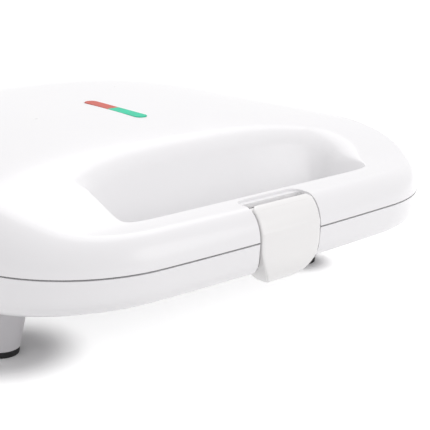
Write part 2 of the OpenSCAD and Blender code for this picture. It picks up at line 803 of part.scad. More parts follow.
module lens(y0, y1) {
    on_crown() intersection() {
        union() {
            translate([0, 0, lens_flange_z]) linear_extrude(lens_proud - lens_flange_z)
                polygon(pill(-strip_len / 2, strip_len / 2, strip_w / 2));
            translate([0, 0, lens_flange_z - 1.2]) linear_extrude(1.2)
                polygon(pill(-strip_len / 2 - 2, strip_len / 2 + 2, strip_w / 2 + 2));
        }
        translate([-10, y0, -9]) cube([20, y1 - y0, 12]);
    }
}

lens_split = strip_len / 2 - strip_len * red_share;
module red_lens() { color("red") in_lid() lens(lens_split + 0.05, strip_len); }
module green_lens() { color("green") in_lid() lens(-strip_len, lens_split - 0.05); }

lamp_r = 2.1;
holder_top = strip_z + lens_flange_z - 1.2 - 0.1 - strip_rise / 2;
holder_low = reflector_top + 0.2;

module lamp_holder() {
    color("ivory") in_lid() difference() {
        translate([-4, strip_front_y - 1, holder_low])
            cube([8, strip_len + 2, holder_top - holder_low]);
        translate([-2.5, strip_front_y + 1, holder_low + 1])
            cube([5, strip_len - 2, holder_top - holder_low]);
    }
}

module neon_lamps() {
    color("orange") in_lid() for (y = [strip_front_y + 4, red_front_y + 3])
        translate([0, y, holder_low + 1.1 + lamp_r]) rotate([-90, 0, 0]) {
            cylinder(r = lamp_r, h = 11);
            translate([0, 0, 11]) sphere(r = lamp_r);
        }
}

// ---- Hinge pins, latch ----

module hinge_pin(side) {
    reach = knuckle_w / 2 + knuckle_gap + ear_w;
    color("silver") translate([side * hinge_x, hinge_y, seam_z]) rotate([0, side * 90, 0]) {
        translate([0, 0, -reach - 0.4]) cylinder(r = hinge_pin_r, h = 2 * reach + 0.5);
        translate([0, 0, reach + 0.05]) cylinder(r = hinge_pin_r + 1.2, h = 1.2);
    }
}

module hinge_pin_left() { hinge_pin(-1); }
module hinge_pin_right() { hinge_pin(1); }

// Side view of the clip: over the bar, down the front and back under the base
latch_round = 8;
latch_boss_r = 3.3;
latch_arm_y = front_y + 1.6;
cheek_t = (latch_w - catch_w) / 2 - 1;
cheek_gap = 0.7;
cheek_sunk = 0.5;

function clip_line(off) =
    let (rise = bar_h + latch_proud - off, reach = latch_round + latch_proud - off,
         y0 = front_y - latch_proud + off, r = hook_r - off)
    concat(
        [for (a = [75:-15:0]) [front_y + latch_round - reach * cos(a), rise * sin(a)]],
        arc([y0 + r, -hook_low + hook_r], r, 180, 270, 8),
        [[hook_tip_y, -hook_low + off]]);

// Side view of the hook's filled ends, clear of the bar above them
function cheek_side() =
    let (c = [front_y - latch_proud + hook_r, hook_r - hook_low], r = hook_r - cheek_sunk,
         y = hook_tip_y - cheek_sunk, top = -nose_low - cheek_gap)
    concat(arc(c, r, 180 + asin((c[1] - top) / r), 270, 8),
        [[y, cheek_sunk - hook_low], [y, top]]);

// Side view of the clip with the boss round its pin, the web above it and the arm to the front
module latch_side() {
    outer = clip_line(0);
    inner = clip_line(latch_wall);
    polygon(concat(outer, [for (k = [len(inner) - 1:-1:0]) inner[k]]));
    translate(latch_pivot) circle(r = latch_boss_r);
    translate([latch_pivot[0] - latch_boss_r, latch_pivot[1]])
        square([latch_boss_r + 2, bar_h - latch_pivot[1] - 1.8]);
    translate([latch_arm_y, latch_pivot[1] - 2])
        square([latch_pivot[0] - 1 - latch_arm_y, 3.4]);
}

// Front view of the clip, with its rounded lower corners
module latch_front() {
    corner = [for (k = [0:9]) let (a = 10 * k, e = 2 / corner_power)
        [latch_w / 2 - latch_corner_w * (1 - pow(cos(a), e)),
         latch_corner_h * (1 - pow(sin(a), e)) - hook_low]];
    polygon(concat([[latch_w / 2, bar_h + 3]], corner,
        [for (k = [9:-1:0]) [-corner[k][0], corner[k][1]]], [[-latch_w / 2, bar_h + 3]]));
}

module latch() {
    color("ivory") in_lid() difference() {
        intersection() {
            union() {
                across(latch_w) latch_side();
                mirrored_x() translate([(latch_w - cheek_t) / 2, 0, 0])
                    across(cheek_t) polygon(cheek_side());
            }
            translate([0, front_y + 20, 0]) rotate([90, 0, 0]) linear_extrude(30) latch_front();
        }
        translate([0, latch_pivot[0], latch_pivot[1]]) rotate([0, 90, 0])
            cylinder(r = latch_pin_r + running_gap, h = latch_w + 2, center = true);
    }
}

module latch_pin() {
    color("silver") in_lid() translate([0, latch_pivot[0], latch_pivot[1]]) rotate([0, 90, 0])
        cylinder(r = latch_pin_r, h = notch_w + 6.4, center = true);
}

// ---- Legs ----

leg_top_z = seam_z - body_b;

module leg(p) {
    color("darkgray") translate([p[0], p[1], pad_t]) difference() {
        cylinder(r1 = leg_low_r, r2 = leg_top_r, h = leg_top_z - pad_t);
        translate([0, 0, -1]) cylinder(r = 3.4, h = 12);
        cylinder(r = 1.9, h = leg_top_z);
    }
}

module pad(p) {
    color("#202020") translate([p[0], p[1], 0]) {
        cylinder(r1 = leg_low_r - 0.6, r2 = leg_low_r - 0.1, h = pad_t - 0.02);
        cylinder(r = 3.3, h = pad_t + 4);
    }
}

module leg_front_left() { leg(leg_spots[0]); }
module leg_front_right() { leg(leg_spots[1]); }
module leg_back_left() { leg(leg_spots[2]); }
module leg_back_right() { leg(leg_spots[3]); }
module pad_front_left() { pad(leg_spots[0]); }
module pad_front_right() { pad(leg_spots[1]); }
module pad_back_left() { pad(leg_spots[2]); }
module pad_back_right() { pad(leg_spots[3]); }

module leg_screws() {
    color("silver") for (p = leg_spots) translate([p[0], p[1], pad_t + 9]) {
        cylinder(r = 3, h = 1.95);
        cylinder(r = 1.6, h = leg_top_z - pad_t);
    }
}

base_shell();
base_liner();
lower_plate();
lower_plate_screws();
lower_element();
lower_element_clamps();
lower_reflector();
base_screws();
thermostat();
terminal_block();
base_wiring();
cord_gland();
hinge_lead();
hinge_pin_left();
hinge_pin_right();
leg_front_left();
leg_front_right();
leg_back_left();
leg_back_right();
pad_front_left();
pad_front_right();
pad_back_left();
pad_back_right();
leg_screws();
lid_shell();
lid_liner();
upper_plate();
upper_plate_screws();
upper_element();
upper_element_clamps();
upper_reflector();
lid_screws();
thermal_fuse();
lid_wiring();
red_lens();
green_lens();
lamp_holder();
neon_lamps();
latch_pin();
latch();
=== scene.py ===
"""Sandwich toaster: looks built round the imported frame.

Shapes are worked out in millimetres from the same named sizes as the CAD source, with heights
counted from the seam between lid and base, and are turned into metres when a mesh is made.
"""

import json
import math

import bmesh
import bpy
import numpy as np
from mathutils import Matrix, Vector


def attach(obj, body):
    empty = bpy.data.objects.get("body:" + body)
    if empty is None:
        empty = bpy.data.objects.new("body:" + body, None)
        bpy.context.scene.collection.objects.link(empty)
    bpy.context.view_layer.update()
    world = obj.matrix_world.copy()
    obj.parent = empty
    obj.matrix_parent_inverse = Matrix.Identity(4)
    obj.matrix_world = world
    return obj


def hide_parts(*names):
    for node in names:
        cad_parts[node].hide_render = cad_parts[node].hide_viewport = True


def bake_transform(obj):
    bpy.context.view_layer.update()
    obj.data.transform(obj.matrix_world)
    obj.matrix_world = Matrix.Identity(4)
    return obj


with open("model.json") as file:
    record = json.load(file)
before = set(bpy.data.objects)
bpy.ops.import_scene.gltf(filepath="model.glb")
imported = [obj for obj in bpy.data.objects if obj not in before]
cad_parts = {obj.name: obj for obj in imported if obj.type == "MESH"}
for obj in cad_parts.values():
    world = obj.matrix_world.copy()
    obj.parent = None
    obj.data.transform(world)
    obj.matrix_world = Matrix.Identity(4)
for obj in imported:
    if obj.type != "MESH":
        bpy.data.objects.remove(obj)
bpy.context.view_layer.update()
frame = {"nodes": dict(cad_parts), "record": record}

# ---- Sizes shared with the CAD source ----
BODY_W, BODY_D = 232.0, 253.4
FRONT_Y, BACK_Y = -131.85, 121.55
MID_Y = (FRONT_Y + BACK_Y) / 2
WIDEST_Y = BACK_Y - 94.7
FRONT_CORNER_R, BACK_CORNER_R = 50.0, 51.0
FRONT_BOW_R, BACK_BOW_R, SIDE_BOW_R = 1300.0, 1064.0, 541.0
SEAM_Z = 46.0
CROWN_H, RIM_H, BAR_H = 30.0, 20.0, 11.6
BAR_B, BODY_B, TUB_B = 13.0, 16.0, 24.5
RAMP_SLOPE, HALF_GAP, WALL = 0.40, 0.3, 2.5
BASE_EDGE_R, BASE_DRAFT, EDGE_SHARE = 7.0, 0.6, 0.67
BAR_T, GRIP_GAP, SCOOP_LEN = 17.3, 24.4, 36.4
BAR_INNER_Y = FRONT_Y + BAR_T
LOOP_FRONT_SHARE = 0.71
LOOP_FRONT_B = GRIP_GAP * LOOP_FRONT_SHARE
GRIP_Y = BAR_INNER_Y + LOOP_FRONT_B
GRIP_HALF_W, GRIP_BACK_B = 52.0, GRIP_GAP - LOOP_FRONT_B
SCOOP_HALF_W, SCOOP_BACK_B = 60.0, SCOOP_LEN - LOOP_FRONT_B
SCOOP_LEAN, SCOOP_POWER = 1.2, 14.0
GAP_BACK_POWER, GAP_FRONT_POWER = 2.5, 8.0
CROWN_POWER, RIM_SHARE, DOME_POWER = 3.6, 0.89, 2.6
RAMP_BLEND, BAR_BLEND = 6, 3
NOTCH_W, NOTCH_BACK_Y, NOTCH_R, CHEEK_T = 30.0, FRONT_Y + 14.2, 4.0, 3.6
SHELF_Y, SHELF_Z = NOTCH_BACK_Y - 2.6, BAR_H - 0.7
LATCH_W, LATCH_WALL, LATCH_PROUD, HOOK_R = 28.6, 2.6, 0.5, 12.0
NOSE_LOW, CATCH_LOW, CATCH_HALF = BAR_B - 0.1, BAR_B + 3.7, 3.6
CATCH_Y, CATCH_R = FRONT_Y - LATCH_PROUD + LATCH_WALL + 0.6, HOOK_R - LATCH_WALL - 0.6
HOOK_LOW, HOOK_TIP_Y = CATCH_LOW + 0.4 + LATCH_WALL, FRONT_Y - LATCH_PROUD + HOOK_R + 1.1
LATCH_PIVOT = (FRONT_Y + 7.7, 6.0)
GLAND_SLOT_W, GLAND_SLOT_B = 18.0, 12.1
HINGE_Y, HINGE_X, KNUCKLE_R, KNUCKLE_W = BACK_Y + 5.8, 60.0, 5.0, 16.0
EAR_W, KNUCKLE_GAP, ARM_INSET = 5.6, 0.4, 0.05
STRIP_FRONT_Y, STRIP_LEN, STRIP_W = FRONT_Y + 85.7, 41.0, 5.6


# ---- Outline and height of the body, as in the CAD source ----
def mix(a, b, t):
    return a + (b - a) * t


def eased(t):
    return t * t * (3 - 2 * t)


def smooth_min(a, b, k):
    h = np.maximum(k - np.abs(a - b), 0) / k
    return np.minimum(a, b) - h * h * k / 4


def smooth_max(a, b, k):
    return -smooth_min(-a, -b, k)


def inner_centre(c1, r1, c2, r2, r, side):
    """Centre of a circle of radius r that touches two larger circles from inside."""
    d = np.linalg.norm(c2 - c1)
    a, b, u = r1 - r, r2 - r, (c2 - c1) / d
    m = (d * d + a * a - b * b) / (2 * d)
    h = math.sqrt(a * a - m * m)
    return c1 + u * m + side * h * np.array([-u[1], u[0]])


def outline():
    """Points of the closed outline, and the direction inwards at each."""
    front_c = np.array([0, FRONT_Y + FRONT_BOW_R])
    back_c = np.array([0, BACK_Y - BACK_BOW_R])
    side_c = np.array([BODY_W / 2 - SIDE_BOW_R, WIDEST_Y])
    front_corner = inner_centre(front_c, FRONT_BOW_R, side_c, SIDE_BOW_R, FRONT_CORNER_R, 1)
    back_corner = inner_centre(back_c, BACK_BOW_R, side_c, SIDE_BOW_R, BACK_CORNER_R, -1)

    def heading(a, b):
        return math.atan2(b[1] - a[1], b[0] - a[0])

    front_end, side_start = heading(front_c, front_corner), heading(side_c, front_corner)
    side_end, back_start = heading(side_c, back_corner), heading(back_c, back_corner)
    stops = [
        (front_c, FRONT_BOW_R, -math.pi / 2, front_end, 22),
        (front_corner, FRONT_CORNER_R, front_end, side_start, 26),
        (side_c, SIDE_BOW_R, side_start, side_end, 36),
        (back_corner, BACK_CORNER_R, side_end, back_start, 24),
        (back_c, BACK_BOW_R, back_start, math.pi / 2, 18),
    ]
    pts, ins = [], []
    for c, r, a0, a1, n in stops:
        for k in range(n):
            a = mix(a0, a1, k / n)
            u = np.array([math.cos(a), math.sin(a)])
            pts.append(c + r * u)
            ins.append(-u)
    pts.append(np.array([0, BACK_Y]))
    ins.append(np.array([0.0, -1.0]))
    right, inward = np.array(pts), np.array(ins)
    flip = np.array([-1, 1])
    return (np.concatenate([right, right[-2:0:-1] * flip]),
            np.concatenate([inward, inward[-2:0:-1] * flip]))


EDGE, INWARD = outline()


def grip_loop(half_w, back_b, grow=0.0, lean=0.0, front_power=GAP_FRONT_POWER):
    """Closed loop round the finger gap, one point for each point of the outline."""
    v = EDGE - np.array([0, GRIP_Y])
    u = v / np.linalg.norm(v, axis=1)[:, None]
    back = u[:, 1] > 0
    grow = np.broadcast_to(grow, len(u))
    a = half_w + grow
    b = grow + np.where(back, back_b, LOOP_FRONT_B + lean)
    p = np.where(back, GAP_BACK_POWER, front_power)
    w = np.where(back[:, None], u * np.stack([a, b], 1), u)
    r = ((np.abs(w[:, 0]) / a) ** p + (np.abs(w[:, 1]) / b) ** p) ** (-1 / p)
    return np.array([0, GRIP_Y]) + r[:, None] * w


def crown(x, y):
    """Height of the dome, before the scoop is taken out of it."""
    across, along = np.abs(x) / (BODY_W / 2), np.abs(y - MID_Y) / (BODY_D / 2)
    s = (across ** CROWN_POWER + along ** CROWN_POWER) ** (1 / CROWN_POWER)
    return RIM_H + (CROWN_H - RIM_H) * (1 - (s / RIM_SHARE) ** DOME_POWER)


def lid_top(p):
    ramp = BAR_H + RAMP_SLOPE * (p[:, 1] - BAR_INNER_Y)
    dome = smooth_min(crown(p[:, 0], p[:, 1]), ramp, RAMP_BLEND)
    return smooth_max(dome, np.full(len(p), BAR_H), BAR_BLEND)


def base_depth(y):
    t = np.clip((y - FRONT_Y) / (BAR_T + GRIP_GAP), 0, 1)
    return mix(BAR_B, BODY_B, eased(t))


# ---- Mesh helpers ----
def add_mesh(name, verts, faces, smooth_angle=40):
    """A mesh object from points in millimetres in the row frame."""
    mesh = bpy.data.meshes.new(name)
    mesh.from_pydata([tuple(c * 0.001 for c in v) for v in verts], [], faces)
    bm = bmesh.new()
    bm.from_mesh(mesh)
    bmesh.ops.recalc_face_normals(bm, faces=bm.faces)
    bm.to_mesh(mesh)
    bm.free()
    obj = bpy.data.objects.new(name, mesh)
    bpy.context.collection.objects.link(obj)
    shade(obj, smooth_angle)
    return obj


def shade(obj, angle):
    for poly in obj.data.polygons:
        poly.use_smooth = True
    obj.data.set_sharp_from_angle(angle=math.radians(angle))


def at_seam(xy, z, up=1):
    """Points of a ring, z above the seam (up = 1) or below it (up = -1)."""
    return np.column_stack([xy, SEAM_Z + up * np.broadcast_to(z, len(xy))])


def ring_faces(rings, closed):
    n = len(rings[0])
    m = len(rings)
    faces = []
    for j in range(m if closed else m - 1):
        k = (j + 1) % m
        for i in range(n):
            i2 = (i + 1) % n
            faces.append((j * n + i, j * n + i2, k * n + i2, k * n + i))
    return faces


def ring_mesh(name, rings, closed=True, caps=False, smooth_angle=40):
    faces = ring_faces(rings, closed)
    n = len(rings[0])
    if caps:
        faces.append(tuple(range(n)))
        faces.append(tuple(range((len(rings) - 1) * n, len(rings) * n)))
    return add_mesh(name, np.concatenate(rings), faces, smooth_angle)


def apply_modifiers(obj, smooth_angle=40):
    bpy.context.view_layer.update()
    done = obj.evaluated_get(bpy.context.evaluated_depsgraph_get())
    mesh = bpy.data.meshes.new_from_object(done)
    old = obj.data
    obj.modifiers.clear()
    obj.data = mesh
    bpy.data.meshes.remove(old)
    shade(obj, smooth_angle)
    return obj


def cut(obj, cutter, smooth_angle=40):
    m = obj.modifiers.new("cut", "BOOLEAN")
    m.operation = "DIFFERENCE"
    m.solver = "EXACT"
    m.object = cutter
    apply_modifiers(obj, smooth_angle)
    bpy.data.objects.remove(cutter)
    return obj


def join(obj, *others):
    """Adds the other objects' meshes to obj as they stand."""
    bpy.context.view_layer.update()
    bm = bmesh.new()
    bm.from_mesh(obj.data)
    for o in others:
        o.data.transform(o.matrix_world)
        bm.from_mesh(o.data)
    bm.to_mesh(obj.data)
    bm.free()
    for o in others:
        bpy.data.objects.remove(o)
    return obj


def bevelled(obj, width_mm, segments=3, angle=30, smooth_angle=40):
    m = obj.modifiers.new("bevel", "BEVEL")
    m.width = width_mm * 0.001
    m.segments = segments
    m.limit_method = "ANGLE"
    m.angle_limit = math.radians(angle)
    m.use_clamp_overlap = True
    return apply_modifiers(obj, smooth_angle)


def prism(name, outline_2d, lo, hi, axis="x", smooth_angle=40):
    """Extrudes a closed 2-D outline along x (points are y, z) or z (points are x, y)."""
    rings = []
    for t in (lo, hi):
        if axis == "x":
            rings.append(np.array([(t, p[0], p[1]) for p in outline_2d]))
        else:
            rings.append(np.array([(p[0], p[1], t) for p in outline_2d]))
    return ring_mesh(name, rings, closed=False, caps=True, smooth_angle=smooth_angle)


def arc_2d(c, r, a0, a1, n):
    return [(c[0] + r * math.cos(math.radians(mix(a0, a1, k / n))),
             c[1] + r * math.sin(math.radians(mix(a0, a1, k / n)))) for k in range(n + 1)]


def rounded_rect(w, d, r, y=0.0, n=8):
    cx, cy = w / 2 - r, d / 2 - r
    pts = (arc_2d((cx, cy), r, 0, 90, n) + arc_2d((-cx, cy), r, 90, 180, n)
           + arc_2d((-cx, -cy), r, 180, 270, n) + arc_2d((cx, -cy), r, 270, 360, n))
    return np.array(pts) + np.array([0, y])


def cylinder(name, centre, r, length, axis="x", n=48, bevel=0.4):
    """A cylinder with softened rims, centred on a point in the row frame."""
    prof = [(-length / 2, 0.001), (-length / 2, r - bevel)]
    prof += [(-length / 2 + bevel * (1 - math.cos(a)), r - bevel + bevel * math.sin(a))
             for a in (math.pi / 8 * k for k in range(1, 5))]
    prof += [(-t, q) for t, q in reversed(prof)]
    rings = []
    for t, q in prof:
        ring = []
        for k in range(n):
            a = 2 * math.pi * k / n
            u, v = q * math.cos(a), q * math.sin(a)
            ring.append({"x": (t, u, v), "y": (u, t, v), "z": (u, v, t)}[axis])
        rings.append(np.array(ring) + np.array(centre))
    return ring_mesh(name, rings, closed=False, caps=True)


def bezier(p0, p1, p2, t):
    return (1 - t) ** 2 * p0 + 2 * t * (1 - t) * p1 + t * t * p2


# ---- Lid ----
CRISP_ROLL, BACK_ROLL, RIGHT_ROLL = 0.4, 7.0, 9.0
ROLL_STARTS_LEFT, ROLL_STARTS_RIGHT, ROLL_GROWS_OVER = 0.1, -0.15, 0.45


def scoop_roll():
    """How wide the lid rolls over into the scoop: crisp at the bar, wide at the back and right."""
    v = EDGE - np.array([0, GRIP_Y])
    u = v / np.linalg.norm(v, axis=1)[:, None]
    starts = np.where(u[:, 0] < 0, ROLL_STARTS_LEFT, ROLL_STARTS_RIGHT)
    back = np.clip((u[:, 1] - starts) / ROLL_GROWS_OVER, 0, 1)
    right = np.clip((u[:, 0] - 0.5) / ROLL_GROWS_OVER, 0, 1)
    right = right * np.clip((u[:, 1] + 0.25) / 0.25, 0, 1)
    return np.maximum(mix(CRISP_ROLL, BACK_ROLL, eased(back)),
                      mix(CRISP_ROLL, RIGHT_ROLL, eased(right)))


def lid_rings(w, fine):
    """Rings of the lid's skin (w = 0) or of its hollow (w = wall), from the edge to the gap."""
    probe = lid_top(EDGE + 10 * INWARD) - w
    band = EDGE_SHARE * probe
    rings = [at_seam(EDGE + w * INWARD, HALF_GAP)]
    for phi in (np.linspace(3, 90, 24) if fine else (20, 45, 90)):
        a = math.radians(phi)
        p = EDGE + (w + (1 - math.cos(a)) * band)[:, None] * INWARD
        rings.append(at_seam(p, (lid_top(p) - w) * math.sin(a)))
    last = rings[-1][:, :2]
    fillet = scoop_roll() if fine else np.zeros(len(EDGE))
    lean = SCOOP_LEAN if fine else 0.0
    near = grip_loop(SCOOP_HALF_W, SCOOP_BACK_B, w + fillet, lean, SCOOP_POWER)
    for t in (np.linspace(0, 1, 26)[1:] if fine else (0.5, 1.0)):
        p = mix(last, near, t)
        rings.append(at_seam(p, lid_top(p) - w))
    rim = grip_loop(SCOOP_HALF_W, SCOOP_BACK_B, w, lean, SCOOP_POWER)
    gap = grip_loop(GRIP_HALF_W, GRIP_BACK_B, w)
    corner, foot = at_seam(rim, lid_top(rim) - w), at_seam(gap, HALF_GAP)
    if fine:
        down = foot - corner
        drop = np.linalg.norm(down, axis=1)[:, None]
        onto = corner + down / drop * np.minimum(fillet[:, None], 0.6 * drop)
        start = rings[-1]
        rings += [bezier(start, corner, onto, t) for t in np.linspace(0, 1, 9)[1:]]
        rings += [mix(onto, foot, t) for t in (0.35, 0.7)]
    rings.append(foot)
    return rings


def yz_box(y0, y1, z0, z1):
    return [(y0, z0), (y1, z0), (y1, z1), (y0, z1)]


def hinge_arm(name, x, half_w, up):
    """Web from a shell's back wall to its knuckle or ear, above the seam (up = 1) or below it."""
    line = [(BACK_Y - 3, 0.4), (HINGE_Y, 0.4), (HINGE_Y, 4.9),
            (BACK_Y + 1.5, 4.9), (BACK_Y - 3, 6.2)]
    web = prism(name, [(y, SEAM_Z + up * z) for y, z in line], x - half_w, x + half_w)
    return bevelled(web, 0.5)


def lid_shell():
    shell = ring_mesh("lid_skin", lid_rings(0.0, True) + lid_rings(WALL, False)[::-1])
    shelf_r = NOTCH_R - NOTCH_BACK_Y + SHELF_Y
    for back_y, r, z in ((SHELF_Y, shelf_r, -1), (NOTCH_BACK_Y, NOTCH_R, SHELF_Z)):
        notch = arc_2d((-NOTCH_W / 2 + r, back_y - r), r, 180, 90, 10)
        notch += arc_2d((NOTCH_W / 2 - r, back_y - r), r, 90, 0, 10)
        notch += [(NOTCH_W / 2, FRONT_Y - 4), (-NOTCH_W / 2, FRONT_Y - 4)]
        cut(shell, prism("notch", notch, SEAM_Z + z, SEAM_Z + BAR_H + 4, axis="z"))
    cut(shell, strip_prism("slot", STRIP_LEN, 0.22, -4.0, 6.0))
    extras = []
    cheek = yz_box(FRONT_Y + 3.8, FRONT_Y + 14.6, SEAM_Z + 2.65, SEAM_Z + 9.4)
    for s in (-1, 1):
        inner, outer = s * NOTCH_W / 2, s * (NOTCH_W / 2 + CHEEK_T)
        extras.append(prism("cheek", cheek, min(inner, outer), max(inner, outer)))
        extras.append(cylinder("knuckle", (s * HINGE_X, HINGE_Y, SEAM_Z), KNUCKLE_R, KNUCKLE_W))
        extras.append(hinge_arm("arm", s * HINGE_X, KNUCKLE_W / 2 - ARM_INSET, 1))
    floor = yz_box(FRONT_Y + 11.4, FRONT_Y + 14.8, SEAM_Z + 6.2, SEAM_Z + 4.6)
    extras.append(prism("pocket_floor", floor, -NOTCH_W / 2 - 0.4, NOTCH_W / 2 + 0.4))
    return join(shell, *extras)


def strip_frame():
    ends = np.array([[0, STRIP_FRONT_Y], [0, STRIP_FRONT_Y + STRIP_LEN]])
    z = lid_top(ends)
    return (z[0] + z[1]) / 2, math.asin((z[1] - z[0]) / STRIP_LEN)


def strip_prism(name, length, grow, low, high):
    """A pill-shaped prism on the lid's crown, tilted along it."""
    z, tilt = strip_frame()
    r = STRIP_W / 2 + grow
    half = length / 2 + grow
    pill = arc_2d((0, half - r), r, 0, 180, 16) + arc_2d((0, -half + r), r, 180, 360, 16)
    obj = prism(name, pill, low, high, axis="z")
    middle = Vector((0, STRIP_FRONT_Y + STRIP_LEN / 2, SEAM_Z + z)) * 0.001
    obj.data.transform(Matrix.Translation(middle) @ Matrix.Rotation(tilt, 4, "X"))
    return obj


# ---- Base ----
def base_rings(w, fine):
    """Rings of the base's skin or hollow, like the lid's but from the seam down."""
    r = BASE_EDGE_R - w
    rings = [at_seam(EDGE + w * INWARD, HALF_GAP, -1)]
    for phi in (np.linspace(0, 90, 12) if fine else (0, 45, 90)):
        a = math.radians(phi)
        p = EDGE + (w + BASE_DRAFT + r * (1 - math.cos(a))) * INWARD
        rings.append(at_seam(p, base_depth(p[:, 1]) - w - r * (1 - math.sin(a)), -1))
    last = rings[-1][:, :2]
    fillet = 2.2 if fine else 0.0
    near = grip_loop(GRIP_HALF_W, GRIP_BACK_B, w + fillet)
    for t in (np.linspace(0, 1, 14)[1:] if fine else (0.5, 1.0)):
        p = mix(last, near, t)
        rings.append(at_seam(p, base_depth(p[:, 1]) - w, -1))
    loop = grip_loop(GRIP_HALF_W, GRIP_BACK_B, w)
    if fine:
        corner = at_seam(loop, base_depth(loop[:, 1]), -1)
        onto = at_seam(loop, base_depth(loop[:, 1]) - fillet, -1)
        start = rings[-1]
        rings += [bezier(start, corner, onto, t) for t in np.linspace(0, 1, 6)[1:]]
    rings.append(at_seam(loop, HALF_GAP, -1))
    return rings


TUB_Y = BACK_Y - 106.7
# Width, depth, corner radius and height below the seam, from the tub's root to its floor
TUB_STEPS = (
    (187, 129, 22, BODY_B - 0.4), (184, 126, 20.3, BODY_B + 0.2),
    (182.4, 124.4, 19.5, BODY_B + 1.6), (175.5, 117.5, 19, TUB_B - 2.4),
    (174.3, 116.3, 18.6, TUB_B - 1.1), (172, 114, 18, TUB_B - 0.3), (169, 111, 17, TUB_B),
    (90, 60, 12, TUB_B), (30, 20, 6, TUB_B),
)


def tub():
    rings = [at_seam(rounded_rect(w, d, r, TUB_Y, 10), low, -1) for w, d, r, low in TUB_STEPS]
    return ring_mesh("tub", rings, closed=False, caps=True)


def base_shell():
    shell = ring_mesh("base_skin", base_rings(0.0, True) + base_rings(WALL, False)[::-1])
    space_back = HOOK_TIP_Y + 0.6
    space = [(-NOTCH_W / 2, FRONT_Y - 4), (-NOTCH_W / 2, space_back),
             (NOTCH_W / 2, space_back), (NOTCH_W / 2, FRONT_Y - 4)]
    cut(shell, prism("space", space, SEAM_Z - BAR_B - 4, SEAM_Z + 1, axis="z"))
    slot = [(-GLAND_SLOT_W / 2, BACK_Y - 6), (GLAND_SLOT_W / 2, BACK_Y - 6),
            (GLAND_SLOT_W / 2, BACK_Y + 2), (-GLAND_SLOT_W / 2, BACK_Y + 2)]
    cut(shell, prism("slot", slot, SEAM_Z - GLAND_SLOT_B, SEAM_Z + 1, axis="z"))
    extras = [tub()]
    for low, half in ((NOSE_LOW, NOTCH_W / 2 + 2.5), (CATCH_LOW, CATCH_HALF)):
        nose = [(CATCH_Y, SEAM_Z - 2.65)]
        bend = arc_2d((CATCH_Y + CATCH_R, low - CATCH_R), CATCH_R, 180, 90, 10)
        nose += [(y, SEAM_Z - z) for y, z in bend]
        nose += [(CATCH_Y + 9.5, SEAM_Z - low), (CATCH_Y + 9.5, SEAM_Z - 2.65)]
        extras.append(prism("nose", nose, -half, half))
    for s in (-1, 1):
        for side in (-1, 1):
            x = s * HINGE_X + side * (KNUCKLE_W / 2 + KNUCKLE_GAP + EAR_W / 2)
            extras.append(cylinder("ear", (x, HINGE_Y, SEAM_Z), KNUCKLE_R, EAR_W))
            extras.append(hinge_arm("ear_arm", x, EAR_W / 2 - ARM_INSET, -1))
    return join(shell, *extras)


# ---- Latch ----
LATCH_ROUND, CORNER_W, CORNER_H, CORNER_POWER, TOP_CORNER_R = 8.0, 12.0, 17.0, 1.7, 3.0
TOP_ANGLE, ANGLE_STEP = 75, 3
RIDGE_Z, RIDGE_HALF, RIDGE_OUT = 2.8, 0.8, 0.2
BARREL_R, BARREL_GAP = 3.3, 0.1


def clip_profile():
    """Outer line of the clip in (y, z above the seam), from its top edge down to the hook's tip."""
    rise, reach = BAR_H + LATCH_PROUD, LATCH_ROUND + LATCH_PROUD

    def on_round(degrees):
        a = math.radians(degrees)
        return FRONT_Y + LATCH_ROUND - reach * math.cos(a), rise * math.sin(a)

    y, z = on_round(TOP_ANGLE)
    pts = [(y + 0.55, z - 1.6), (y + 0.5, z - 0.7), (y + 0.32, z - 0.25)]
    pts += [on_round(a) for a in range(TOP_ANGLE, -1, -ANGLE_STEP)]
    y0 = FRONT_Y - LATCH_PROUD
    pts += [(y0, -HOOK_LOW + HOOK_R + t) for t in (5, 3.3, 1.6)]
    pts += arc_2d((y0 + HOOK_R, -HOOK_LOW + HOOK_R), HOOK_R, 180, 270, 18)
    pts += [(HOOK_TIP_Y - 0.5, -HOOK_LOW), (HOOK_TIP_Y, -HOOK_LOW + 0.3)]
    fine = []
    for a, b in zip(pts, pts[1:]):
        steps = 1 if abs(a[1] - b[1]) < 0.4 else max(1, int(abs(a[1] - b[1]) / 0.3))
        fine += [(mix(a[0], b[0], t / steps), mix(a[1], b[1], t / steps)) for t in range(steps)]
    return np.array(fine + [pts[-1]])


def latch_half(z):
    """Half width of the clip at a height above the seam, with its rounded lower corners."""
    rise = np.clip((z + HOOK_LOW) / CORNER_H, 0, 1)
    return LATCH_W / 2 - CORNER_W * (1 - (1 - (1 - rise) ** CORNER_POWER) ** (1 / CORNER_POWER))


